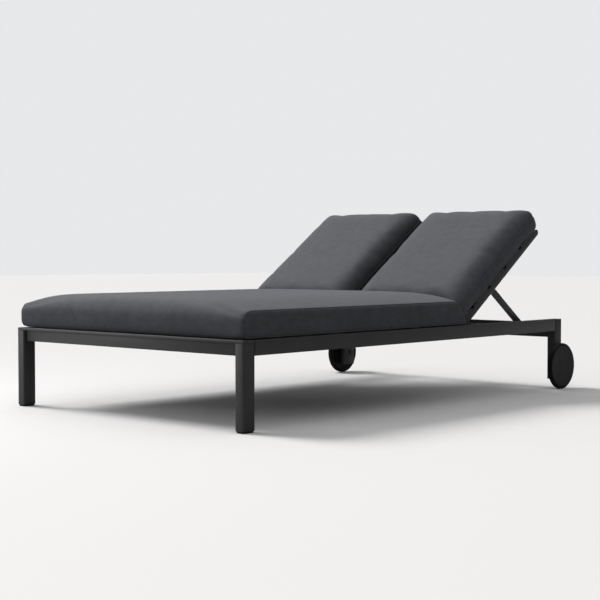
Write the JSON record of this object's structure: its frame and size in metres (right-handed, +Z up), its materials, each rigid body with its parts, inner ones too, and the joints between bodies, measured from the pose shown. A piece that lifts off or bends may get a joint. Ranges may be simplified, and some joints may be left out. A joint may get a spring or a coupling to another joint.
{
  "type": "reclining sun lounger",
  "caption": "Double reclining sun lounger: low aluminium frame on wheels, one wide seat cushion, separate cushioned backrests on prop stays.",
  "frame": {"origin": "on the floor, at the middle of the whole object's footprint", "axes": "+Y from the foot end to the head end, +X to the right side seen from the foot end, +Z up"},
  "size_m": [1.269, 2.082, 0.7657],
  "materials": {
    "frame_coat": "satin",
    "slat_coat": "satin",
    "steel": "satin",
    "wheel_plastic": "satin",
    "tread_rubber": "matte",
    "glide_plastic": "matte",
    "cushion_canvas": "matte"
  },
  "bodies": {
    "frame": {"axle_left": "steel", "axle_right": "steel", "centre_rail": "frame_coat", "front_rail": "frame_coat", "glide_left": "glide_plastic", "glide_right": "glide_plastic", "hinge_rail_left": "frame_coat", "hinge_rail_right": "frame_coat", "hinge_rod": "steel", "leg_front_left": "frame_coat", "leg_front_right": "frame_coat", "leg_rear_left": "frame_coat", "leg_rear_right": "frame_coat", "rack_left_inner": "frame_coat", "rack_left_outer": "frame_coat", "rack_right_inner": "frame_coat", "rack_right_outer": "frame_coat", "rear_rail": "frame_coat", "seat_cushion": "cushion_canvas", "seat_slat_1": "slat_coat", "seat_slat_2": "slat_coat", "seat_slat_3": "slat_coat", "seat_slat_4": "slat_coat", "seat_slat_5": "slat_coat", "seat_slat_6": "slat_coat", "seat_slat_7": "slat_coat", "seat_slat_8": "slat_coat", "side_rail_left": "frame_coat", "side_rail_right": "frame_coat"},
    "back_left": {"back_bar_left_inner": "frame_coat", "back_bar_left_outer": "frame_coat", "back_cushion_left": "cushion_canvas", "back_slat_left_1": "slat_coat", "back_slat_left_2": "slat_coat", "back_slat_left_3": "slat_coat", "back_slat_left_4": "slat_coat", "back_slat_left_5": "slat_coat", "back_top_bar_left": "frame_coat", "prop_rod_left": "steel"},
    "back_right": {"back_bar_right_inner": "frame_coat", "back_bar_right_outer": "frame_coat", "back_cushion_right": "cushion_canvas", "back_slat_right_1": "slat_coat", "back_slat_right_2": "slat_coat", "back_slat_right_3": "slat_coat", "back_slat_right_4": "slat_coat", "back_slat_right_5": "slat_coat", "back_top_bar_right": "frame_coat", "prop_rod_right": "steel"},
    "prop_left": {"prop_arm_left_inner": "frame_coat", "prop_arm_left_outer": "frame_coat", "prop_foot_left": "frame_coat"},
    "prop_right": {"prop_arm_right_inner": "frame_coat", "prop_arm_right_outer": "frame_coat", "prop_foot_right": "frame_coat"},
    "wheel_left": {"wheel_disc_left": "wheel_plastic", "wheel_tread_left": "tread_rubber"},
    "wheel_right": {"wheel_disc_right": "wheel_plastic", "wheel_tread_right": "tread_rubber"}
  },
  "joints": [
    {"name": "back_left_recline", "type": "hinge", "parent": "frame", "child": "back_left", "pos_m": [0, 0.259, 0.291], "axis": [1, 0, 0], "range_deg": [-34.5, 35.5]},
    {"name": "back_right_recline", "type": "hinge", "parent": "frame", "child": "back_right", "pos_m": [0, 0.259, 0.291], "axis": [1, 0, 0], "range_deg": [-34.5, 35.5]},
    {"name": "prop_left_fold", "type": "hinge", "parent": "back_left", "child": "prop_left", "pos_m": [0, 0.50624, 0.46092], "axis": [1, 0, 0], "range_deg": [-71, 69]},
    {"name": "prop_right_fold", "type": "hinge", "parent": "back_right", "child": "prop_right", "pos_m": [0, 0.50624, 0.46092], "axis": [1, 0, 0], "range_deg": [-71, 69]},
    {"name": "wheel_left_spin", "type": "hinge", "parent": "frame", "child": "wheel_left", "pos_m": [0, 0.941, 0.1], "axis": [1, 0, 0], "continuous": true},
    {"name": "wheel_right_spin", "type": "hinge", "parent": "frame", "child": "wheel_right", "pos_m": [0, 0.941, 0.1], "axis": [1, 0, 0], "continuous": true}
  ],
  "couplings": [
    {"joint": "prop_left_fold", "follows": "back_left_recline", "ratio": -2},
    {"joint": "prop_right_fold", "follows": "back_right_recline", "ratio": -2}
  ]
}
